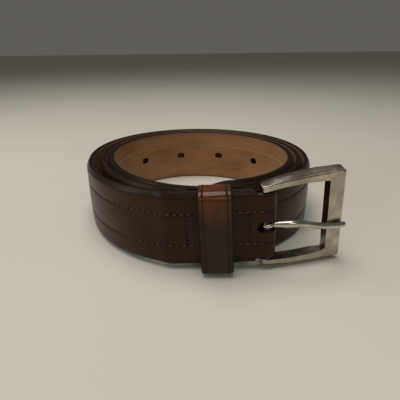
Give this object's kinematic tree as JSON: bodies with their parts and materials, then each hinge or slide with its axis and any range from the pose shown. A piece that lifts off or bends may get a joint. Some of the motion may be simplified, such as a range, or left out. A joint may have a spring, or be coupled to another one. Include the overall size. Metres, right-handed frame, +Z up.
{
  "type": "leather belt",
  "caption": "Dress belt coiled on its edge: a stitched leather strap with punched holes, a turned-back fold holding a hinged buckle frame and prong, and a sliding keeper loop.",
  "frame": {"origin": "on the surface the belt stands on, under the middle of its outline box", "axes": "+Z up from the floor, along the strap's width; +X along the straight buckle end towards the buckle; -Y the side the straight buckle end faces"},
  "size_m": [0.117, 0.132, 0.0393],
  "materials": {
    "grain_leather": "glossy dark brown, fine grain",
    "filler_board": "painted cut edge",
    "lining_leather": "matt tan, smooth",
    "keeper_leather": "glossy reddish brown, fine grain",
    "brown_thread": "waxed twisted thread",
    "tan_thread": "waxed twisted thread",
    "nickel_plate": "polished plated casting",
    "steel": "plated wire"
  },
  "bodies": {
    "strap": {"strap_grain": "grain_leather", "strap_filler": "filler_board", "strap_lining": "lining_leather", "upper_seam_needle_thread": "brown_thread", "upper_seam_bobbin_thread": "tan_thread", "lower_seam_needle_thread": "brown_thread", "lower_seam_bobbin_thread": "tan_thread", "left_cross_seam_needle_thread": "brown_thread", "left_cross_seam_bobbin_thread": "brown_thread", "right_cross_seam_needle_thread": "brown_thread", "right_cross_seam_bobbin_thread": "brown_thread"},
    "keeper": {"keeper_grain": "keeper_leather", "keeper_lining": "filler_board", "keeper_left_needle_thread": "brown_thread", "keeper_left_bobbin_thread": "brown_thread", "keeper_right_needle_thread": "brown_thread", "keeper_right_bobbin_thread": "brown_thread", "keeper_staple": "steel"},
    "buckle": {"buckle_frame": "nickel_plate", "heel_bar": "steel"},
    "prong": {"prong": "nickel_plate"}
  },
  "joints": [
    {"name": "keeper_slide", "type": "slide", "parent": "strap", "child": "keeper", "axis": [0.999, 0, 0.0436], "range_m": [-0.0024, 0.0036]},
    {"name": "buckle_hinge", "type": "hinge", "parent": "strap", "child": "buckle", "pos_m": [0.02682, -0.05684, 0.01867], "axis": [-0.0436, 0, 0.999], "range_deg": [-30, 10]},
    {"name": "prong_hinge", "type": "hinge", "parent": "buckle", "child": "prong", "pos_m": [0.02682, -0.05684, 0.01867], "axis": [-0.0436, 0, 0.999], "range_deg": [-75, 0]}
  ]
}
